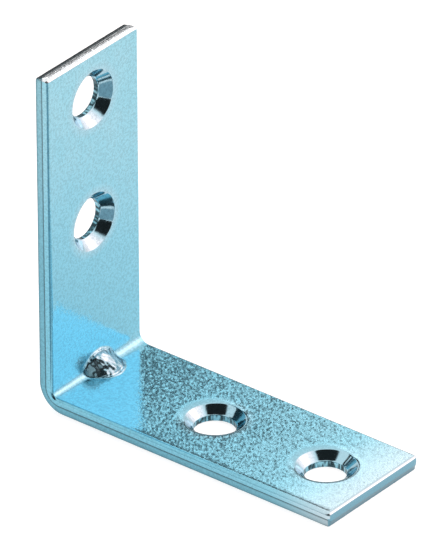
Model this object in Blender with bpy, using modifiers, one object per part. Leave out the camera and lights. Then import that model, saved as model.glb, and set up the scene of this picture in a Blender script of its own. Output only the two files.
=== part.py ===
"""A corner brace: one zinc plated steel strip, folded to a right angle, with two countersunk screw
holes in each leg and a stiffening dimple pressed into the fold. Metres, +Z up.

The foot lies along +X and the upright stands on its -X end. The origin is under the middle of the
whole brace, on the surface that the foot rests on.
"""

import math

import bmesh
import bpy

# The strip and its two legs, measured over the outside of the fold.
WIDTH = 0.0150
THICKNESS = 0.0017
UPRIGHT_HEIGHT = 0.0405
FOOT_LENGTH = 0.0395

# The fold. Its inside is nearly sharp at the near side and opens a little towards the far side. Its
# outside is drawn rounder, so the strip is thinner there.
INSIDE_RADIUS_NEAR = 0.0006
INSIDE_RADIUS_FAR = 0.0012
OUTSIDE_RADIUS = 0.0031
FOLD_STEPS = 14

# The dimple swells both radii of the fold, more on the foot than on the upright. On the inside it
# bulges into the corner, and the outside is dented to match. It leans, so its middle lies further
# across on the foot than on the upright.
DIMPLE_WIDTH = 0.0052
DIMPLE_SWELL_FOOT = 0.0016
DIMPLE_SWELL_UPRIGHT = 0.0012
DIMPLE_FROM_NEAR_SIDE = 0.0080
DIMPLE_LEAN = 0.0005
DIMPLE_STEPS = 24
DIMPLE_FILLET = 0.15
INSIDE_BULGE = 0.62
OUTSIDE_BULGE = 0.30

# Two screw holes in each leg, on the middle line of the strip, set out from the leg's own end.
TOP_HOLE_FROM_END = 0.0055
TOE_HOLE_FROM_END = 0.0065
HOLE_PITCH = 0.0150
HOLES_IN_A_LEG = 2
BORE_RADIUS = 0.0023
COUNTERSINK_RADIUS = 0.0033
COUNTERSINK_DEPTH = 0.0010
DISH_WIDTH = 0.0009
DISH_DEPTH = 0.00012
DISH_STEPS = 3
HOLE_STEPS = 40
CUT_CLEARANCE = 0.0005

# Shearing rolls the edges of the inner face over, and leaves those of the outer face crisp.
ROLLED_EDGE = 0.00040
CRISP_EDGE = 0.00010
CORNER_EDGE = 0.00018
EDGE_STEPS = 3

SHARP_ANGLE = math.radians(35)
FLAT_ANGLE = math.radians(0.05)
TOUCH = 1e-7

BACK = -FOOT_LENGTH / 2
NEAR_SIDE = -WIDTH / 2
FAR_SIDE = WIDTH / 2
TOE = BACK + FOOT_LENGTH
DIMPLE_MIDDLE = NEAR_SIDE + DIMPLE_FROM_NEAR_SIDE


def clear_scene():
    for obj in list(bpy.data.objects):
        bpy.data.objects.remove(obj, do_unlink=True)


def new_collection(name, hidden=False):
    collection = bpy.data.collections.new(name)
    collection.hide_render = hidden
    bpy.context.scene.collection.children.link(collection)
    return collection


def zinc_plate():
    """Bright, faintly blue zinc on steel."""
    material = bpy.data.materials.new("zinc_plate")
    material.use_nodes = True
    shader = material.node_tree.nodes["Principled BSDF"]
    shader.inputs["Base Color"].default_value = (0.46, 0.72, 0.80, 1.0)
    shader.inputs["Metallic"].default_value = 1.0
    shader.inputs["Roughness"].default_value = 0.28
    return material


def fullness(y, turned):
    """How full the dimple is at this place across the strip, from 0 to 1. turned is 0 where the
    fold meets the upright and 1 where it meets the foot."""
    middle = DIMPLE_MIDDLE + DIMPLE_LEAN * (turned - 0.5)
    across = (y - middle) / (DIMPLE_WIDTH / 2)
    return max(0.0, 1 - across * across)


def ease(share):
    share = min(1.0, share)
    return share * share * (3 - 2 * share)


def fold(corner, radius, bulge, y):
    """Points of one face of the fold in the XZ plane, from the upright to the foot. Between an arc
    and its mirror image, the bulge of the dimple decides."""
    points = []
    for step in range(FOLD_STEPS + 1):
        turned = step / FOLD_STEPS
        full = fullness(y, turned)
        proud = bulge * full * ease(min(turned, 1 - turned) / DIMPLE_FILLET)
        sine = math.sin(turned * math.pi / 2)
        cosine = math.cos(turned * math.pi / 2)
        x = (1 - cosine) + proud * (sine - (1 - cosine))
        z = (1 - sine) + proud * (cosine - (1 - sine))
        out = (radius + DIMPLE_SWELL_FOOT * full) * x
        up = (radius + DIMPLE_SWELL_UPRIGHT * full) * z
        points.append((BACK + corner + out, corner + up))
    return points


def section(y):
    """The strip's outline seen from its near side: down the back, round the fold, out along the
    underside, and home along the inner face."""
    opening = (y - NEAR_SIDE) / WIDTH
    inside = INSIDE_RADIUS_NEAR + opening * (INSIDE_RADIUS_FAR - INSIDE_RADIUS_NEAR)
    back_fold = fold(0.0, OUTSIDE_RADIUS, OUTSIDE_BULGE, y)
    face_fold = fold(THICKNESS, inside, INSIDE_BULGE, y)
    return [
        (BACK, UPRIGHT_HEIGHT),
        *back_fold,
        (TOE, 0.0),
        (TOE, THICKNESS),
        *reversed(face_fold),
        (BACK + THICKNESS, UPRIGHT_HEIGHT),
    ]


def stations():
    """Places across the strip: its two sides, and closer ones over the dimple."""
    across = [NEAR_SIDE, FAR_SIDE]
    half = (DIMPLE_WIDTH + DIMPLE_LEAN) / 2
    for step in range(DIMPLE_STEPS + 1):
        turn = math.pi * step / DIMPLE_STEPS
        across.append(DIMPLE_MIDDLE - half * math.cos(turn))
    return sorted(across)


def on_inner_side(vertex):
    return vertex.co.x > BACK + THICKNESS - TOUCH and vertex.co.z > THICKNESS - TOUCH


def on_shear(face):
    """Whether a face is one that the shears left: a side of the strip or the end of a leg."""
    places = [vertex.co for vertex in face.verts]
    return (
        all(abs(place.y) > FAR_SIDE - TOUCH for place in places)
        or all(place.z > UPRIGHT_HEIGHT - TOUCH for place in places)
        or all(place.x > TOE - TOUCH for place in places)
    )


def edge_width(edge):
    """Which rounding an edge gets. Only the edges that the shears left are rounded."""
    if not any(on_shear(face) for face in edge.link_faces):
        return 0.0
    inner = [on_inner_side(vertex) for vertex in edge.verts]
    if all(inner):
        return ROLLED_EDGE
    if any(inner):
        return CORNER_EDGE
    return CRISP_EDGE


def folded_strip(collection, material):
    """The strip is a loft of its section across the width, because the dimple changes the fold's
    radii on the way. Its flat faces are then merged, and its edges weighted for the bevel."""
    mesh = bpy.data.meshes.new("corner_brace")
    bm = bmesh.new()
    rings = []
    for y in stations():
        rings.append([bm.verts.new((x, y, z)) for x, z in section(y)])
    bm.faces.new(rings[0])
    bm.faces.new(reversed(rings[-1]))
    for ring, following in zip(rings, rings[1:]):
        for here in range(len(ring)):
            ahead = (here + 1) % len(ring)
            bm.faces.new((ring[ahead], ring[here], following[here], following[ahead]))
    bmesh.ops.recalc_face_normals(bm, faces=bm.faces)
    bmesh.ops.dissolve_limit(
        bm, angle_limit=FLAT_ANGLE, verts=bm.verts, edges=bm.edges, use_dissolve_boundaries=False
    )
    weight = bm.edges.layers.float.new("bevel_weight_edge")
    for edge in bm.edges:
        edge[weight] = edge_width(edge) / ROLLED_EDGE
    bm.to_mesh(mesh)
    bm.free()
    mesh.materials.append(material)
    obj = bpy.data.objects.new("corner_brace", mesh)
    collection.objects.link(obj)
    bevel = obj.modifiers.new("sheared_edges", "BEVEL")
    bevel.limit_method = "WEIGHT"
    bevel.width = ROLLED_EDGE
    bevel.segments = EDGE_STEPS
    bevel.use_clamp_overlap = False
    return obj


def hole_profile():
    """Half the outline of a hole, from above the face to below the back, in radius and height.
    The screw head's cone is struck into a shallow dish."""
    points = [(0.0, CUT_CLEARANCE)]
    dish_edge = COUNTERSINK_RADIUS + DISH_WIDTH
    points.append((dish_edge + CUT_CLEARANCE, CUT_CLEARANCE))
    points.append((dish_edge, 0.0))
    for step in range(1, DISH_STEPS + 1):
        share = step / DISH_STEPS
        points.append((dish_edge - DISH_WIDTH * share, -DISH_DEPTH * share * share))
    points.append((BORE_RADIUS, -COUNTERSINK_DEPTH))
    points.append((BORE_RADIUS, -THICKNESS - CUT_CLEARANCE))
    points.append((0.0, -THICKNESS - CUT_CLEARANCE))
    return points


def hole_cutter(name, collection):
    """A turned cutter whose own +Z is the way that the screw head faces."""
    mesh = bpy.data.meshes.new(name)
    points = [(radius, 0.0, height) for radius, height in hole_profile()]
    mesh.from_pydata(points, [(i, i + 1) for i in range(len(points) - 1)], [])
    obj = bpy.data.objects.new(name, mesh)
    collection.objects.link(obj)
    turn = obj.modifiers.new("turn", "SCREW")
    turn.steps = HOLE_STEPS
    turn.render_steps = HOLE_STEPS
    turn.use_merge_vertices = True
    turn.merge_threshold = 0.00001
    obj.hide_render = True
    obj.display_type = "WIRE"
    return obj


def pierce(brace, cutter):
    cut = brace.modifiers.new(cutter.name, "BOOLEAN")
    cut.operation = "DIFFERENCE"
    cut.solver = "EXACT"
    cut.object = cutter


def make_holes(brace, collection):
    for number in range(HOLES_IN_A_LEG):
        down = TOP_HOLE_FROM_END + number * HOLE_PITCH
        cutter = hole_cutter(f"upright_hole_{number + 1}", collection)
        cutter.location = (BACK + THICKNESS, 0.0, UPRIGHT_HEIGHT - down)
        cutter.rotation_euler = (0.0, math.pi / 2, 0.0)
        pierce(brace, cutter)
        inward = TOE_HOLE_FROM_END + number * HOLE_PITCH
        cutter = hole_cutter(f"foot_hole_{number + 1}", collection)
        cutter.location = (TOE - inward, 0.0, THICKNESS)
        pierce(brace, cutter)


def shade(obj):
    obj.data.shade_smooth()
    obj.data.set_sharp_from_angle(angle=SHARP_ANGLE)


clear_scene()
parts = new_collection("corner_brace")
cutters = new_collection("cutters", hidden=True)
corner_brace = folded_strip(parts, zinc_plate())
shade(corner_brace)
make_holes(corner_brace, cutters)
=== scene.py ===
import math

import bmesh
import bpy
from mathutils import Matrix, Vector, noise


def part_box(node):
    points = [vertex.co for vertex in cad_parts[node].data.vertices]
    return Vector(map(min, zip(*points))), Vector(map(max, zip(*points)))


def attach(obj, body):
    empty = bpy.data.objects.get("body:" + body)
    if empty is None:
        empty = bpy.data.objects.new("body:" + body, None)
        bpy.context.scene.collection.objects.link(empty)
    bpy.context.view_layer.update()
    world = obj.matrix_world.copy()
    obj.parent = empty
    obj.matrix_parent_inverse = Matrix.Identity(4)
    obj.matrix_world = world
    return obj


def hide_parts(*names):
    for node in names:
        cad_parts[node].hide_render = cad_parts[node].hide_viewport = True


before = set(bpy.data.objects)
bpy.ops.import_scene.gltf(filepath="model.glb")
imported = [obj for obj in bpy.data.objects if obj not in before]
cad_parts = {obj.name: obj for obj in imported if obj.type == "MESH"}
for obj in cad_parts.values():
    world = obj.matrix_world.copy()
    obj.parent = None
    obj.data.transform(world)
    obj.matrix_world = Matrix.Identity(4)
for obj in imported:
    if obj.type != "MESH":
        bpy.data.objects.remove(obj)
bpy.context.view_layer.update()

# The blank: a strip of cold rolled steel, slit to width and sheared to length. Its two legs are
# measured from the outside of the fold, and depth counts through the steel, from the face that ends
# up inside the corner.
low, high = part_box("corner_brace")
BACK = low.x
LEG_LENGTH = {"upright": high.z - low.z, "foot": high.x - low.x}
HALF_WIDTH = (high.y - low.y) / 2
THICKNESS = 0.0017

# The fold and its dimple. The strip is bent over a nearly sharp former, so the inside of the fold is
# tight at the near side and opens towards the far side. A blunt punch then presses a dimple into the
# fold from outside, which stiffens the corner.
INSIDE_RADIUS_NEAR = 0.0006
INSIDE_RADIUS_FAR = 0.0012
OUTSIDE_RADIUS = 0.0031
DIMPLE_WIDTH = 0.0052
DIMPLE_SWELL = {"upright": 0.0012, "foot": 0.0016}
DIMPLE_FROM_NEAR_SIDE = 0.0080
DIMPLE_MIDDLE = DIMPLE_FROM_NEAR_SIDE - HALF_WIDTH
DIMPLE_LEAN = 0.0005
DIMPLE_FILLET = 0.15
DOME_BULGE = 0.62
DENT_BULGE = 0.30
RIPPLE = 0.000030
RIPPLE_LENGTH = 0.0009


def mix(start, end, share):
    return start + (end - start) * share


def ease(share):
    share = min(1.0, max(0.0, share))
    return share * share * (3 - 2 * share)


def dome(across, turned):
    """How full the dimple is at this place across the strip, from 0 to 1. It leans a little, so its
    middle is further across on the foot (turned 1) than on the upright (0)."""
    middle = DIMPLE_MIDDLE + DIMPLE_LEAN * (turned - 0.5)
    away = abs(across - middle) / (DIMPLE_WIDTH / 2)
    return max(0.0, 1 - away * away)


def inside_radius(across, turned, leg):
    opening = (across + HALF_WIDTH) / (2 * HALF_WIDTH)
    ripple = RIPPLE * opening * noise.noise(Vector((across / RIPPLE_LENGTH, 0, 0)))
    radius = mix(INSIDE_RADIUS_NEAR, INSIDE_RADIUS_FAR, opening) + ripple
    return radius + DIMPLE_SWELL[leg] * dome(across, turned)


def outside_radius(across, turned, leg):
    return OUTSIDE_RADIUS + DIMPLE_SWELL[leg] * dome(across, turned)


def on_leg(leg, reach, across, depth):
    out = THICKNESS - depth
    if leg == "upright":
        return Vector((BACK + out, across, reach))
    return Vector((BACK + reach, across, out))


def round_fold(turned, across, through):
    """A point in the fold, turned from the upright (0) to the foot (1), through from the inside (0)
    to the outside (1)."""
    angle = math.pi / 2 * turned
    hollow = Vector((1 - math.cos(angle), 1 - math.sin(angle)))
    proud = Vector((math.sin(angle), math.cos(angle)))
    bulge = dome(across, turned) * ease(min(turned, 1 - turned) / DIMPLE_FILLET)
    inside = Vector([inside_radius(across, turned, leg) for leg in ("foot", "upright")])
    outside = Vector([outside_radius(across, turned, leg) for leg in ("foot", "upright")])
    inner = Vector((THICKNESS, THICKNESS)) + inside * hollow.lerp(proud, DOME_BULGE * bulge)
    outer = outside * hollow.lerp(proud, DENT_BULGE * bulge)
    place = inner.lerp(outer, through)
    return Vector((BACK + place.x, across, place.y))


# The two faces, smooth from the rolling mill. Each is a grid of rows across the strip and columns
# along it. A square patch round each screw hole is left open, and the hole is set into it later.
BORDER = 0.0008
HOLE_FROM_END = {"upright": 0.0055, "foot": 0.0065}
HOLE_PITCH = 0.0150
PATCH_HALF = 0.0046
PATCH_CELLS = 44
MARGIN_CELLS = 6
END_ROWS = 2
GAP_ROWS = 14
LEG_ROWS = 30
FOLD_ROWS = 36
STRETCHED_IN_FOLD = 0.15


class Skin:
    """Gathers the points and faces of the brace. Each point has the marks that the work left on it,
    from 0 to 1: sheared or torn by a blade, struck by a punch, stretched in the fold."""

    MARKS = ("sheared", "torn", "struck", "stretched")

    def __init__(self):
        self.places = []
        self.faces = []
        self.marks = {name: [] for name in self.MARKS}

    def point(self, place, marks):
        self.places.append(place)
        for name in self.MARKS:
            self.marks[name].append(marks.get(name, 0.0))
        return len(self.places) - 1

    def face(self, corners):
        """A face of three or four points; a point that is given twice counts once."""
        different = list(dict.fromkeys(corners))
        if len(different) > 2:
            self.faces.append(different)

    def bridge(self, ring, following):
        """Faces between two closed rings of as many points."""
        for here in range(len(ring)):
            ahead = (here + 1) % len(ring)
            self.face((ring[here], ring[ahead], following[ahead], following[here]))


class Row:
    """One row across the strip. In the fold it has its turn; on a leg it has its reach, which near
    the fold leans towards the line where the fold begins."""

    def __init__(self, leg=None, reach=0.0, nearness=0.0, turned=0.0):
        self.leg = leg
        self.reach = reach
        self.nearness = nearness
        self.turned = turned

    def place(self, across, depth, push=0.0):
        """push moves the point along the leg, towards its end."""
        if self.leg is None:
            return round_fold(self.turned, across, depth / THICKNESS)
        turned = 0.0 if self.leg == "upright" else 1.0
        inner = THICKNESS + inside_radius(across, turned, self.leg)
        outer = outside_radius(across, turned, self.leg)
        tangent = mix(inner, outer, depth / THICKNESS)
        return on_leg(self.leg, mix(self.reach, tangent, self.nearness) + push, across, depth)

    def stretched(self, across):
        """How far the fold is stretched here: a little in its plain part, and fully on the dimple."""
        if self.leg is not None:
            return 0.0
        return mix(STRETCHED_IN_FOLD, 1.0, math.sqrt(dome(across, self.turned)))


def hole_reach(leg, number):
    return LEG_LENGTH[leg] - HOLE_FROM_END[leg] - number * HOLE_PITCH


def leg_rows(leg):
    """The rows of a leg from its end to the fold, and the rows where each hole's patch starts."""
    end = LEG_LENGTH[leg] - BORDER
    outer_hole = hole_reach(leg, 0)
    inner_hole = hole_reach(leg, 1)
    stops = [
        (end, outer_hole + PATCH_HALF, END_ROWS),
        (outer_hole + PATCH_HALF, outer_hole - PATCH_HALF, PATCH_CELLS),
        (outer_hole - PATCH_HALF, inner_hole + PATCH_HALF, GAP_ROWS),
        (inner_hole + PATCH_HALF, inner_hole - PATCH_HALF, PATCH_CELLS),
    ]
    rows = []
    for start, stop, count in stops:
        rows += [Row(leg, mix(start, stop, step / count)) for step in range(count)]
    patch_starts = [END_ROWS, END_ROWS + PATCH_CELLS + GAP_ROWS]
    last = inner_hole - PATCH_HALF
    rows += [Row(leg, last, step / LEG_ROWS) for step in range(LEG_ROWS)]
    return rows, patch_starts


upright_rows, upright_patches = leg_rows("upright")
foot_rows, foot_patches = leg_rows("foot")
fold_rows = [Row(turned=step / FOLD_ROWS) for step in range(FOLD_ROWS + 1)]
rows = upright_rows + fold_rows + foot_rows[::-1]
patches = [("upright", number, start) for number, start in enumerate(upright_patches)]
for number, start in enumerate(foot_patches):
    patches.append(("foot", number, len(rows) - 1 - start - PATCH_CELLS))

margin = HALF_WIDTH - BORDER - PATCH_HALF
columns = [-HALF_WIDTH + BORDER + margin * step / MARGIN_CELLS for step in range(MARGIN_CELLS)]
columns += [mix(-PATCH_HALF, PATCH_HALF, step / PATCH_CELLS) for step in range(PATCH_CELLS)]
columns += [PATCH_HALF + margin * step / MARGIN_CELLS for step in range(MARGIN_CELLS + 1)]
skin = Skin()


def in_patch(row, column):
    """Whether a grid point lies inside a hole's patch, past its outline."""
    if not MARGIN_CELLS < column < MARGIN_CELLS + PATCH_CELLS:
        return False
    return any(start < row < start + PATCH_CELLS for leg, number, start in patches)


def flat_face(depth):
    """The grid of one face of the strip, left open where the holes' patches go."""
    grid = {}
    for row in range(len(rows)):
        for column in range(len(columns)):
            if not in_patch(row, column):
                marks = {"stretched": rows[row].stretched(columns[column])}
                place = rows[row].place(columns[column], depth)
                grid[row, column] = skin.point(place, marks)
    for row in range(len(rows) - 1):
        for column in range(len(columns) - 1):
            corners = [(row, column), (row, column + 1), (row + 1, column + 1), (row + 1, column)]
            middle = MARGIN_CELLS <= column < MARGIN_CELLS + PATCH_CELLS
            inside = any(start <= row < start + PATCH_CELLS for leg, number, start in patches)
            if not (middle and inside):
                skin.face([grid[corner] for corner in corners])
    return grid


inner_grid = flat_face(0.0)
outer_grid = flat_face(THICKNESS)

# The sheared edges. Where the blade enters, the inner face rolls over, with a faint lip behind the
# roll on the near side. Below it is a smooth burnished band, and past that the steel tears away rough.
# At the ends of the strip the tear slopes back further and is marked more torn, which the plating
# paints near black: bare steel and painted shade.
ROLL = 0.00040
ROLL_DEPTH = 0.00034
FAR_ROLL = 0.45
LIP = 0.000016
LIP_SHAPE = [(1.5, 0.4), (1.2, 1.0), (1.0, 1.1)]
BACK_MARGIN = 0.00048
SIDE_TEAR = [
    (0.0000, 0.00050, 0.0), (0.0000, 0.00070, 0.0), (0.000012, 0.00074, 0.7),
    (0.000050, 0.00078, 1.0), (0.000045, 0.00086, 0.6), (0.000030, 0.00098, 0.2),
    (0.000035, 0.00120, 0.2), (0.000050, 0.00145, 0.3), (0.000070, 0.00160, 0.6),
    (0.000095, 0.00167, 0.4), (0.000130, 0.00170, 0.0),
]
END_TEAR = [
    (0.0000, 0.00050, 0.0), (0.0000, 0.00070, 0.0), (0.0000, 0.00094, 0.0),
    (0.000010, 0.00100, 0.8), (0.000045, 0.00108, 1.0), (0.000085, 0.00119, 1.0),
    (0.000130, 0.00131, 1.0), (0.000170, 0.00143, 1.0), (0.000200, 0.00155, 1.0),
    (0.000220, 0.00166, 1.0), (0.000240, 0.00170, 0.8),
]
ROLL_STEPS = 8
CORNER_STEPS = 6
CORNER_SQUARENESS = 0.4
TEAR_ROUGHNESS = 0.000018
TEAR_GRAIN = 0.00022
NOISE_SEED = 4

# Without a seed of its own, the noise that roughens the tears would be another one each time.
noise.seed_set(NOISE_SEED)


def edge_profile(endness, nearness, farness):
    """(inset, depth, marks) down the edge, from the inner face to the outer one. endness is 1 at the
    ends of the strip, nearness at its near side and farness at its far side, where the roll is less.
    LIP_SHAPE has shares of the roll's width and of the lip's height, and each line of a tear has its
    inset, its depth and how torn it is."""
    lip = LIP * nearness
    roll = ROLL * mix(1.0, FAR_ROLL, farness)
    profile = [(roll * width, -lip * height, {}) for width, height in LIP_SHAPE]
    for step in range(1, ROLL_STEPS + 1):
        angle = math.pi / 2 * step / ROLL_STEPS
        drop = -lip + (ROLL_DEPTH + lip) * (1 - math.cos(angle))
        marks = {"sheared": ease(step / ROLL_STEPS * 2 - 1)}
        profile.append((roll * (1 - math.sin(angle)), drop, marks))
    for side, end in zip(SIDE_TEAR, END_TEAR):
        inset, depth, tear = [mix(ours, theirs, endness) for ours, theirs in zip(side, end)]
        profile.append((inset, depth, {"sheared": 1.0 if depth < THICKNESS else 0.0, "torn": tear}))
    profile.append((BACK_MARGIN, THICKNESS, {}))
    return profile


def squared(part):
    """A share of the way out, with a corner's turn drawn towards a square one."""
    return math.copysign(abs(part) ** CORNER_SQUARENESS, part)


def rim():
    """The grid's outline in order, each point with its way out of the blank: (row, column, share
    towards the end of the leg, share across the strip). A corner turns in several steps."""
    last_row = len(rows) - 1
    last_column = len(columns) - 1
    turns = [math.pi / 2 * step / CORNER_STEPS for step in range(CORNER_STEPS + 1)]
    found = [(0, 0, math.cos(turn), -math.sin(turn)) for turn in turns]
    found += [(row, 0, 0.0, -1.0) for row in range(1, last_row)]
    found += [(last_row, 0, math.sin(turn), -math.cos(turn)) for turn in turns]
    found += [(last_row, column, 1.0, 0.0) for column in range(1, last_column)]
    found += [(last_row, last_column, math.cos(turn), math.sin(turn)) for turn in turns]
    found += [(row, last_column, 0.0, 1.0) for row in range(last_row - 1, 0, -1)]
    found += [(0, last_column, math.sin(turn), math.cos(turn)) for turn in turns]
    found += [(0, column, 1.0, 0.0) for column in range(last_column - 1, 0, -1)]
    return found


def edge_point(outline_point, step):
    row, column, endward, sideward = outline_point
    nearness = max(0.0, -sideward)
    farness = max(0.0, sideward)
    inset, depth, marks = edge_profile(endward * endward, nearness, farness)[step]
    out = BORDER - inset
    across = columns[column] + squared(sideward) * out
    place = rows[row].place(across, depth, squared(endward) * out)
    tear = marks.get("torn", 0.0) * TEAR_ROUGHNESS
    return skin.point(place + noise.noise_vector(place / TEAR_GRAIN) * tear, marks)


outline = rim()
ring = [inner_grid[row, column] for row, column, endward, sideward in outline]
for step in range(len(edge_profile(0.0, 0.0, 0.0))):
    following = [edge_point(outline_point, step) for outline_point in outline]
    skin.bridge(ring, following)
    ring = following
skin.bridge(ring, [outer_grid[row, column] for row, column, endward, sideward in outline])

# The screw holes. Each is punched from the inner face, which leaves its wall torn in streaks, and the
# screw head's cone is then struck into it. The blow sinks the metal beside it into a shallow dish,
# and no cone sits quite true on its bore.
BORE_RADIUS = 0.0023
BORE_DRIFT = {"upright": -0.00018, "foot": 0.0}
DISH_EDGE = 0.0044
DISH_DEPTH = {"upright": 0.00002, "foot": 0.00007}
DISH_SIDE = math.radians(165)
DISH_FALLOFF = 1.5
DISH_RINGS = 6
CONE_TOP = {"upright": (0.00335, 0.00335), "foot": (0.00330, 0.00325)}
CONE_DRIFT = {"upright": (0.0, 0.0), "foot": (0.00010, 0.00005)}
CONE_DEPTH = {"upright": 0.00105, "foot": 0.00095}
CONE_RINGS = 12
RIM_ROUND = 0.00010
THROAT_ROUND = 0.00007
PATCH_RINGS = 6
OUT_OF_ROUND = 0.000035
WALL_WANDER = 900
DISH_STRUCK = 0.6
RIM_STRUCK = 0.8
STREAKS_ROUND = 8.0
STREAK_LEVEL = 0.6
STREAK_DEPTH = 1.8


def bearing(towards_end, across):
    """The angle round a hole for a point on its patch's square outline, evenly spaced."""
    quarter = math.pi / 4
    if abs(towards_end) >= abs(across):
        turn = across / abs(towards_end) * quarter
        return turn if towards_end > 0 else math.pi - turn
    turn = towards_end / abs(across) * quarter
    return math.pi / 2 - turn if across > 0 else turn - math.pi / 2


def hole_profile(cone_top, cone_depth):
    """(radius, depth, share of the cone's drift, share of the dish, marks) from the dish's edge to
    the far face. Each line of the bore has how far it opens past the bore's radius, its share of the
    wall's depth, and its marks."""
    profile = []
    for step in range(DISH_RINGS):
        share = step / DISH_RINGS
        radius = mix(DISH_EDGE, cone_top + RIM_ROUND, share)
        profile.append((radius, 0.0, 1.0, share * share, {"struck": share * DISH_STRUCK}))
    rim_radius = cone_top + RIM_ROUND * 0.5
    profile.append((rim_radius, RIM_ROUND * 0.1, 1.0, 1.0, {"struck": RIM_STRUCK}))
    for step in range(CONE_RINGS + 1):
        share = step / CONE_RINGS
        radius = mix(cone_top, BORE_RADIUS + THROAT_ROUND, share)
        depth = mix(RIM_ROUND * 0.5, cone_depth, share)
        profile.append((radius, depth, 1.0 - share, 1.0 - share, {"struck": 1.0}))
    # The torn marks paint the bore's wall nearly black, bare steel with painted shade in the hole,
    # lighter where a streak is less torn.
    bore = [
        (THROAT_ROUND * 0.3, 0.03, {"struck": 0.5}),
        (0.0, 0.07, {"sheared": 1.0, "torn": 0.3}),
        (0.0, 0.12, {"sheared": 1.0, "torn": 1.0}),
        (0.00001, 0.34, {"sheared": 1.0, "torn": 1.0}),
        (0.00002, 0.60, {"sheared": 1.0, "torn": 1.0}),
        (0.00002, 0.88, {"sheared": 1.0, "torn": 1.0}),
        (0.00005, 1.00, {"sheared": 0.5, "torn": 0.4}),
        (0.00022, 1.00, {}),
    ]
    for opening, share, marks in bore:
        depth = mix(cone_depth, THICKNESS, share)
        profile.append((BORE_RADIUS + opening, depth, 0.0, 0.0, marks))
    return profile


def hole_ring(leg, number, angles, radius, depth, drift, sunk, marks):
    """One ring of a hole's wall, a little out of round. WALL_WANDER is how many uneven places there
    are to a metre of wall."""
    centre = hole_reach(leg, number) + CONE_DRIFT[leg][number] * drift
    ring = []
    for angle in angles:
        way = Vector((math.cos(angle), math.sin(angle), 0.0))
        wander = noise.noise(way + Vector((0.0, 0.0, number + depth * WALL_WANDER)))
        uneven = radius + OUT_OF_ROUND * wander
        reach = centre + uneven * way.x
        across = BORE_DRIFT[leg] * (1.0 - drift) + uneven * way.y
        dish = DISH_DEPTH[leg] * sunk * max(0.0, math.cos(angle - DISH_SIDE)) ** DISH_FALLOFF
        place = on_leg(leg, reach, across, depth + dish)
        streak = noise.noise(way * STREAKS_ROUND + place * WALL_WANDER)
        torn = marks.get("torn", 0.0) * ease(STREAK_LEVEL + STREAK_DEPTH * streak)
        place = place + noise.noise_vector(place / TEAR_GRAIN) * torn * TEAR_ROUGHNESS
        ring.append(skin.point(place, {**marks, "torn": torn}))
    return ring


def patch_outline(start):
    """The grid points round a patch, in order."""
    first = MARGIN_CELLS
    last = MARGIN_CELLS + PATCH_CELLS
    stop = start + PATCH_CELLS
    found = [(start, column) for column in range(first, last)]
    found += [(row, last) for row in range(start, stop)]
    found += [(stop, column) for column in range(last, first, -1)]
    found += [(row, first) for row in range(stop, start, -1)]
    return found


def blend_patch(leg, number, square, angles, radius, depth, drift):
    """Rings that ease a patch's square outline into a circle, from the square inwards."""
    centre = hole_reach(leg, number)
    rings = []
    for step in range(1, PATCH_RINGS):
        share = step / PATCH_RINGS
        ring = []
        for (row, column), angle in zip(square, angles):
            reach = mix(rows[row].reach, centre + drift + radius * math.cos(angle), share)
            across = mix(columns[column], radius * math.sin(angle), share)
            ring.append(skin.point(on_leg(leg, reach, across, depth), {}))
        rings.append(ring)
    return rings


for leg, number, start in patches:
    square = patch_outline(start)
    centre = hole_reach(leg, number)
    angles = [bearing(rows[row].reach - centre, columns[column]) for row, column in square]
    profile = hole_profile(CONE_TOP[leg][number], CONE_DEPTH[leg])
    drift = CONE_DRIFT[leg][number]
    rings = [[inner_grid[point] for point in square]]
    rings += blend_patch(leg, number, square, angles, DISH_EDGE, 0.0, drift)
    for ring in profile:
        rings.append(hole_ring(leg, number, angles, *ring))
    exit_radius = profile[-1][0]
    rings += blend_patch(leg, number, square, angles, exit_radius, THICKNESS, 0.0)[::-1]
    rings.append([outer_grid[point] for point in square])
    for ring, following in zip(rings, rings[1:]):
        skin.bridge(ring, following)

# The finished strip, in one piece, which stands for the plain solid one. Slitting, folding and
# striking leave it wavy by about a hundredth of a millimetre.
WAVE = 0.000012
WAVE_LENGTH = 0.0065
places = [place + noise.noise_vector(place / WAVE_LENGTH) * WAVE for place in skin.places]
mesh = bpy.data.meshes.new("folded_strip")
mesh.from_pydata(places, [], skin.faces)
shaping = bmesh.new()
shaping.from_mesh(mesh)
bmesh.ops.recalc_face_normals(shaping, faces=shaping.faces)
shaping.to_mesh(mesh)
shaping.free()
for name, values in skin.marks.items():
    mesh.attributes.new(name, "FLOAT", "POINT").data.foreach_set("value", values)
mesh.shade_smooth()
folded_strip = bpy.data.objects.new("folded_strip", mesh)
bpy.context.scene.collection.objects.link(folded_strip)
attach(folded_strip, "root")
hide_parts("corner_brace")
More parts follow.
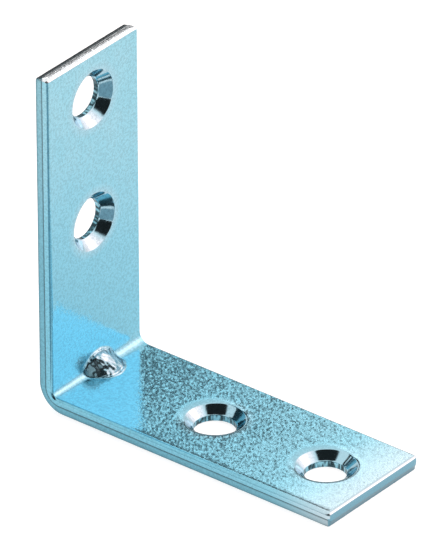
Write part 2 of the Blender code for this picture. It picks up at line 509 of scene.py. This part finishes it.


# The plating: bright zinc with a clear blue passivation, over steel that keeps its rolled grain. It is
# bluest by the fold, which is painted shade, and paler and smoother towards the toe. Torn steel takes
# hardly any of it and is painted nearly black, bare steel with painted shade, and where a punch or the
# fold stretched the steel it is silver.
class Wire:
    """A value on its way through a material's nodes. Arithmetic on it adds Math nodes."""

    def __init__(self, tree, socket=None):
        self.tree = tree
        self.socket = socket

    def add(self, kind, settings, inputs, output=0):
        """A node of this type, with its settings made before its inputs are joined."""
        node = self.tree.nodes.new("ShaderNode" + kind)
        for name, value in settings.items():
            setattr(node, name, value)
        for name, value in inputs.items():
            if isinstance(value, Wire):
                self.tree.links.new(value.socket, node.inputs[name])
            else:
                node.inputs[name].default_value = value
        return None if output is None else Wire(self.tree, node.outputs[output])

    def math(self, operation, *terms):
        return self.add("Math", {"operation": operation}, dict(enumerate(terms)))

    def __add__(self, other):
        return self.math("ADD", self, other)

    def __radd__(self, other):
        return self.math("ADD", other, self)

    def __sub__(self, other):
        return self.math("SUBTRACT", self, other)

    def __rsub__(self, other):
        return self.math("SUBTRACT", other, self)

    def __mul__(self, other):
        return self.math("MULTIPLY", self, other)

    def __rmul__(self, other):
        return self.math("MULTIPLY", other, self)

    def vector(self, operation, *terms, output=0):
        settings = {"operation": operation}
        return self.add("VectorMath", settings, dict(enumerate(terms)), output)

    def between(self, start, stop):
        """0 below start and 1 above stop, eased."""
        settings = {"interpolation_type": "SMOOTHSTEP"}
        return self.add("MapRange", settings, {"Value": self, "From Min": start, "From Max": stop})

    def tint(self, start, stop):
        """The colour at this share between two colours."""
        return self.add("Mix", {"data_type": "RGBA"}, {0: self, 6: start, 7: stop}, 2)


def new_material(name):
    material = bpy.data.materials.new(name)
    material.use_nodes = True
    material.node_tree.nodes.clear()
    return material, Wire(material.node_tree)


def blotches(wires, spot, size, detail=2.0, roughness=0.5):
    """Random soft patches from 0 to 1, each about as wide as size."""
    inputs = {"Vector": spot, "Scale": 1 / size, "Detail": detail, "Roughness": roughness}
    return wires.add("TexNoise", {}, inputs, "Fac")


def mark(wires, name):
    return wires.add("Attribute", {"attribute_name": name}, {}, "Fac")


def bump(wires, height, distance, normal):
    """The normal of a surface that rises by up to this distance where height is 1."""
    relief = {"Strength": 1.0, "Distance": distance, "Height": height, "Normal": normal}
    return wires.add("Bump", {}, relief)


zinc, wires = new_material("blue_zinc")
spot = wires.add("TexCoord", {}, {}, "Object")
out, across, height = [wires.add("SeparateXYZ", {}, {"Vector": spot}, axis) for axis in "XYZ"]
struck = mark(wires, "struck")
sheared = mark(wires, "sheared")
stretched = mark(wires, "stretched")

# The toe's end is painted a darker blue, a painted shade, and its torn steel is painted less dark than
# the other sheared steel. The fades are distances in from the toe, and heights over the floor.
TOE_END_FADE = (0.00003, 0.00010)
TOE_TEAR_FADE = (0.00026, 0.00032)
TOE_TEAR_TOP = (0.0010, 0.0011)
TOE_END_LESS_DARK = 0.60
TEAR_SIZE = 0.00014
PAINTED_GLINT_RANGE = (0.50, 0.66)
PAINTED_GLINT_SHARE = 0.14

to_toe = LEG_LENGTH["foot"] + BACK - out
burnished_end = 1 - to_toe.between(*TOE_END_FADE)
torn_end = (1 - to_toe.between(*TOE_TEAR_FADE)) * (1 - height.between(*TOE_TEAR_TOP))
toe_end = wires.math("MAXIMUM", burnished_end, torn_end)
# Painted glints: soft spots where torn steel is painted less dark and less rough.
painted_glint = blotches(wires, spot, TEAR_SIZE).between(*PAINTED_GLINT_RANGE)
torn = mark(wires, "torn") * (1 - painted_glint * PAINTED_GLINT_SHARE) * (1 - toe_end * TOE_END_LESS_DARK)

# The colour drifts in soft blotches and finer clouds. It is deepest by the fold, which is painted
# shade, pales sooner up the upright than along the foot, and is nearly white at the toe. The upright's
# end has a near white painted highlight.
BLUE = (0.325, 0.665, 0.780, 1.0)
PALE_BLUE = (0.370, 0.685, 0.790, 1.0)
FOLD_SHADE_BLUE = (0.235, 0.595, 0.745, 1.0)
TOE_WHITE = (0.605, 0.740, 0.800, 1.0)
TOE_END_SHADE_BLUE = (0.200, 0.420, 0.520, 1.0)
END_HIGHLIGHT_WHITE = (0.95, 0.98, 1.00, 1.0)
SILVER = (0.420, 0.665, 0.765, 1.0)
BARE_GREY_AND_SHADE = (0.022, 0.045, 0.055, 1.0)
BLOTCH_SIZE = 0.0045
BLOTCH_RANGE = (0.30, 0.70)
BLOTCH_SHARE = 0.7
CLOUD_SIZE = 0.0012
CLOUD_RANGE = (0.30, 0.75)
ALONG_FOOT = 1.5
UP_UPRIGHT = 2.0
FOLD_SHADE_FADE = (0.016, 0.080)
TOE_WHITE_FADE = (0.0110, 0.0215)
SMOOTH_TOE_FADE = (0.006, 0.016)
END_HIGHLIGHT_FADE = (0.00016, 0.00026)
GRAIN_SIZE = 0.00030
SPECK_RANGE = (0.42, 0.62)
SPECK_DARKNESS = 0.18
TORN_DARK_AND_SHADE = 0.98

blotch = blotches(wires, spot, BLOTCH_SIZE, detail=3.0).between(*BLOTCH_RANGE)
cloud = blotches(wires, spot, CLOUD_SIZE, detail=3.0).between(*CLOUD_RANGE)
zinc_colour = (blotch * BLOTCH_SHARE + cloud * (1 - BLOTCH_SHARE)).tint(BLUE, PALE_BLUE)
# Painted shade: a deeper blue by the fold and low on the near side, where the metal mirrors the shaded
# floor by the foot.
from_fold = (out - BACK) * ALONG_FOOT + height * UP_UPRIGHT + across
zinc_colour = from_fold.between(*FOLD_SHADE_FADE).tint(FOLD_SHADE_BLUE, zinc_colour)
zinc_colour = out.between(*TOE_WHITE_FADE).tint(zinc_colour, TOE_WHITE)
zinc_colour = toe_end.tint(zinc_colour, TOE_END_SHADE_BLUE)
# Painted highlight: the upright's top edge is tinted near white, where its rolled edge catches the
# light.
from_end = LEG_LENGTH["upright"] - height
end_highlight = (1 - from_end.between(*END_HIGHLIGHT_FADE)) * (1 - torn)
zinc_colour = end_highlight.tint(zinc_colour, END_HIGHLIGHT_WHITE)
zinc_colour = struck.tint(zinc_colour, SILVER)
zinc_colour = stretched.tint(zinc_colour, SILVER)
speck = blotches(wires, spot, GRAIN_SIZE, roughness=0.7).between(*SPECK_RANGE)
smooth_toe = out.between(*SMOOTH_TOE_FADE)
# Torn steel is painted nearly black: partly bare steel, partly painted shade in the holes and on the
# sloping tears.
covered_and_shaded = (1 - speck * (1 - smooth_toe) * SPECK_DARKNESS) * (1 - torn * TORN_DARK_AND_SHADE)
colour = covered_and_shaded.tint(BARE_GREY_AND_SHADE, zinc_colour)

# The rolled grain tips the surface this way and that, in short dashes at an angle to the strip. The
# blows, the shears and the polish at the toe take some of it away. Fine pores, the crumples on the
# dimple and the rips in torn steel are raised on top of it.
GRAIN_TURN = (0.0, 0.0, math.radians(51))
GRAIN_STRETCH = (0.65, 1.25, 1.0)
GRAIN_TILT = 0.13
GRAIN_DETAIL = 1.5
GRAIN_ROUGHNESS = 0.6
GRAIN_LOST = {"struck": 0.8, "sheared": 0.5, "smooth_toe": 0.75}
PORE_SIZE = 0.00014
PORE_HEIGHT = 0.000004
CRUMPLE_SIZE = 0.0010
CRUMPLE_HEIGHT = 0.00050
TEAR_HEIGHT = 0.00002
FACE_ROUGHNESS = 0.11
PORE_ROUGHNESS = 0.10
TORN_ROUGHNESS = 0.28
STRUCK_ROUGHNESS = 0.10
HAZE = 0.20
HAZE_ROUGHNESS = 0.42

grain_left = (1 - struck * GRAIN_LOST["struck"]) * (1 - sheared * GRAIN_LOST["sheared"])
grain_left = grain_left * (1 - smooth_toe * GRAIN_LOST["smooth_toe"])
along = wires.add("Mapping", {}, {"Vector": spot, "Rotation": GRAIN_TURN})
along = wires.vector("MULTIPLY", along, GRAIN_STRETCH)
dashes = {"Vector": along, "Scale": 1 / GRAIN_SIZE}
dashes = {**dashes, "Detail": GRAIN_DETAIL, "Roughness": GRAIN_ROUGHNESS}
dashes = wires.add("TexNoise", {}, dashes, "Color")
tips = wires.vector("SUBTRACT", dashes, (0.5, 0.5, 0.5))
tips = wires.add("VectorMath", {"operation": "SCALE"}, {0: tips, "Scale": grain_left * GRAIN_TILT})
normal = wires.vector("ADD", wires.add("NewGeometry", {}, {}, "Normal"), tips)
normal = wires.vector("NORMALIZE", normal)
pores = blotches(wires, spot, PORE_SIZE)
normal = bump(wires, pores * grain_left, PORE_HEIGHT, normal)
crumples = blotches(wires, spot, CRUMPLE_SIZE, detail=1.0) * stretched * stretched
normal = bump(wires, crumples, CRUMPLE_HEIGHT, normal)
rips = blotches(wires, spot, TEAR_SIZE, detail=3.0) * torn
normal = bump(wires, rips, TEAR_HEIGHT, normal)

# Most of the surface is a clear mirror, and a share of it is hazy, except where it was struck.
roughness = FACE_ROUGHNESS + (pores - 0.5) * PORE_ROUGHNESS
roughness = roughness + torn * (TORN_ROUGHNESS - FACE_ROUGHNESS)
roughness = roughness + struck * (STRUCK_ROUGHNESS - FACE_ROUGHNESS)
plate = {"Base Color": colour, "Metallic": 1.0, "Roughness": roughness, "Normal": normal}
clear = wires.add("BsdfPrincipled", {}, plate)
hazy = wires.add("BsdfPrincipled", {}, {**plate, "Roughness": HAZE_ROUGHNESS})
shader = wires.add("MixShader", {}, {0: HAZE * (1 - struck), 1: clear, 2: hazy})
wires.add("OutputMaterial", {}, {"Surface": shader}, None)
mesh.materials.append(zinc)

# The floor: a plain white sheet that runs on past the view, a wave's height under the foot. It takes
# the brace's soft shadow, and its own faint glow lifts it to the white of the photograph's background.
FLOOR_SIZE = 8.0
FLOOR_CELLS = 8
FLOOR_COLOUR = (0.50, 0.50, 0.50, 1.0)
FLOOR_GLOW = 0.80
MIRRORED_SHARE = 0.80

bpy.ops.mesh.primitive_grid_add(
    x_subdivisions=FLOOR_CELLS, y_subdivisions=FLOOR_CELLS, size=FLOOR_SIZE
)
floor = bpy.context.object
floor.name = "white_floor"
floor.location.z = -WAVE
sheet, wires = new_material("white_sheet")
seen = wires.add("LightPath", {}, {}, "Is Camera Ray")
for name in ("Is Glossy Ray", "Is Transmission Ray"):
    seen = seen + wires.add("LightPath", {}, {}, name) * MIRRORED_SHARE
matt = wires.add("BsdfDiffuse", {}, {"Color": FLOOR_COLOUR})
glow = wires.add("Emission", {}, {"Color": seen * FLOOR_GLOW})
both = wires.add("AddShader", {}, {0: matt, 1: glow})
wires.add("OutputMaterial", {}, {"Surface": both}, None)
floor.data.materials.append(sheet)

# The room: pale walls and ceiling with a window behind the brace on the right. It is dark in front,
# where the camera stands, but for one small fill light, and dark low down behind it on the left.
# Each fade is a pair of cosines, of the angle to its way or straight up.
CEILING_LEVEL = 1.0
WALL_LEVEL = 0.85
WALL_TOP = (0.10, 0.60)
DARK_LEVEL = 0.02
FRONT_WAY = Vector((0.52, -0.84, 0.15)).normalized()
FRONT_FADE = (0.50, 0.62)
FRONT_TOP = (0.94, 0.98)
FRONT_FLATNESS = 0.25
FILL_WAY = Vector((0.67, -0.70, 0.27)).normalized()
FILL_FADE = (0.95, 0.985)
FILL_LEVEL = 0.45
CORNER_WAY = Vector((-0.74, 0.67, 0.04)).normalized()
CORNER_FADE = (0.88, 0.96)
CORNER_TOP = (0.20, 0.35)
WINDOW_WAY = Vector((0.56, 0.66, 0.50)).normalized()
WINDOW_FADE = (0.70, 0.95)
WINDOW_LEVEL = 0.45
WINDOW_WARMTH = (1.50, 1.0, 0.95, 1.0)
PANE_FADE = (0.95, 0.99)
PANE_LEVEL = 0.75
WHITE = (1.0, 1.0, 1.0, 1.0)

world = bpy.data.worlds.new("studio")
bpy.context.scene.world = world
world.use_nodes = True
world.node_tree.nodes.clear()
wires = Wire(world.node_tree)
way = wires.add("TexCoord", {}, {}, "Generated")
up = wires.add("SeparateXYZ", {}, {"Vector": way}, "Z")


def towards(direction, flattened=1.0):
    """The cosine of a ray's angle to this direction, with heights counted for less."""
    flat = wires.vector("MULTIPLY", way, (1, 1, flattened))
    unit = wires.vector("NORMALIZE", flat)
    return wires.vector("DOT_PRODUCT", unit, direction, output="Value")


front = towards(FRONT_WAY, FRONT_FLATNESS).between(*FRONT_FADE) * (1 - up.between(*FRONT_TOP))
dark_corner = towards(CORNER_WAY).between(*CORNER_FADE) * (1 - up.between(*CORNER_TOP))
to_window = towards(WINDOW_WAY)
window = to_window.between(*WINDOW_FADE)
level = WALL_LEVEL + up.between(*WALL_TOP) * (CEILING_LEVEL - WALL_LEVEL)
level = level + window * WINDOW_LEVEL + to_window.between(*PANE_FADE) * PANE_LEVEL
level = DARK_LEVEL + level * (1 - front) * (1 - dark_corner)
level = level + towards(FILL_WAY).between(*FILL_FADE) * front * FILL_LEVEL
seen = wires.add("LightPath", {}, {}, "Is Camera Ray")
level = seen + level * (1 - seen)
warmth = (window * (1 - seen)).tint(WHITE, WINDOW_WARMTH)
light = wires.vector("MULTIPLY", warmth, level)
room = wires.add("Background", {}, {"Color": light})
wires.add("OutputWorld", {}, {"Surface": room}, None)

# The white board, square to the foot and well behind the upright. It fades in above a dark skirt, and
# has a brighter edge and a stripe of glare. The foot mirrors it, which shows its grain in the
# middle and makes the toe bright. The heights are over the floor.
BOARD_BACK = -0.550
BOARD_SIDES = (-0.30, 2.20)
BOARD_HEIGHTS = (0.390, 1.200)
BOARD_FADE = (0.480, 0.545)
BOARD_LEVEL = 0.43
BOARD_EDGE_FADE = (0.536, 0.547)
BOARD_EDGE_LEVEL = 0.58
GLARE_START = (0.560, 0.574)
GLARE_END = (0.586, 0.600)
GLARE_LEVEL = 1.50


def card(name, corners, shader_of):
    """A flat card of the studio, which the brace mirrors and the camera does not see."""
    card_mesh = bpy.data.meshes.new(name)
    card_mesh.from_pydata(corners, [], [(0, 1, 2, 3)])
    obj = bpy.data.objects.new(name, card_mesh)
    bpy.context.scene.collection.objects.link(obj)
    obj.visible_camera = False
    obj.visible_diffuse = False
    obj.visible_shadow = False
    finish, wires = new_material(name)
    wires.add("OutputMaterial", {}, {"Surface": shader_of(wires)}, None)
    card_mesh.materials.append(finish)


def board_light(wires):
    place = wires.add("TexCoord", {}, {}, "Object")
    height = wires.add("SeparateXYZ", {}, {"Vector": place}, "Z")
    level = height.between(*BOARD_FADE) * BOARD_LEVEL
    level = level + height.between(*BOARD_EDGE_FADE) * BOARD_EDGE_LEVEL
    glare = height.between(*GLARE_START) * (1 - height.between(*GLARE_END))
    return wires.add("Emission", {}, {"Color": level + glare * GLARE_LEVEL})


near, far = BOARD_SIDES
bottom, top = BOARD_HEIGHTS
corners = [(near, bottom), (far, bottom), (far, top), (near, top)]
card("white_board", [(BOARD_BACK, side, height) for side, height in corners], board_light)

# The grey card, which is a faint blue. It lies on the floor, in front of the brace on the right, and
# the walls of the upper holes and the upright's rolled edge mirror it.
GREY_CARD = [(-0.017, -0.012), (0.070, -0.012), (1.600, -0.900), (0.500, -1.600)]
GREY_CARD_HEIGHT = 0.0002
GREY_CARD_COLOUR = (0.32, 0.44, 0.50, 1.0)


def card_light(wires):
    return wires.add("Emission", {}, {"Color": GREY_CARD_COLOUR})


card("grey_card", [(x, y, GREY_CARD_HEIGHT) for x, y in GREY_CARD], card_light)

# The lamp: a soft round box high behind the brace, a little to the right, which throws the faint
# shadow on the floor. The brace doesn't mirror it.
LAMP_WAY = Vector((0.38, 0.62, 0.69)).normalized()
LAMP_AWAY = 0.55
LAMP_SIZE = 0.20
LAMP_POWER = 0.22

lamp_data = bpy.data.lights.new("soft_box", "AREA")
lamp_data.shape = "DISK"
lamp_data.size = LAMP_SIZE
lamp_data.energy = LAMP_POWER
lamp = bpy.data.objects.new("soft_box", lamp_data)
lamp.location = LAMP_WAY * LAMP_AWAY
lamp.rotation_euler = LAMP_WAY.to_track_quat("Z", "Y").to_euler()
lamp.visible_glossy = False
bpy.context.scene.collection.objects.link(lamp)

# The camera, where the photograph was taken from: high on the right, and far off with a long lens.
# Its aim is measured from the brace's back, its near side and the floor.
AZIMUTH = math.radians(39.10)
ELEVATION = math.radians(30.95)
ROLL_ANGLE = math.radians(-0.34)
DISTANCE = 1.2989
PHOTO_HEIGHT = 552
FOCAL_PIXELS = 12304.3
AIM = Vector((0.01764 + BACK, 0.00877 - HALF_WIDTH, 0.01861))

level_way = Vector((math.sin(AZIMUTH), -math.cos(AZIMUTH), 0.0))
back = level_way * math.cos(ELEVATION) + Vector((0.0, 0.0, math.sin(ELEVATION)))
right = Vector((math.cos(AZIMUTH), math.sin(AZIMUTH), 0.0))
right.rotate(Matrix.Rotation(ROLL_ANGLE, 3, back))
camera_data = bpy.data.cameras.new("camera")
camera_data.lens = FOCAL_PIXELS / PHOTO_HEIGHT * camera_data.sensor_width
camera_data.clip_start = DISTANCE / 10
camera_data.clip_end = FLOOR_SIZE
camera = bpy.data.objects.new("camera", camera_data)
turn = Matrix((right, back.cross(right), back)).transposed()
camera.matrix_world = Matrix.LocRotScale(AIM + back * DISTANCE, turn, None)
bpy.context.scene.collection.objects.link(camera)
bpy.context.scene.camera = camera
bpy.context.scene.view_settings.view_transform = "Standard"
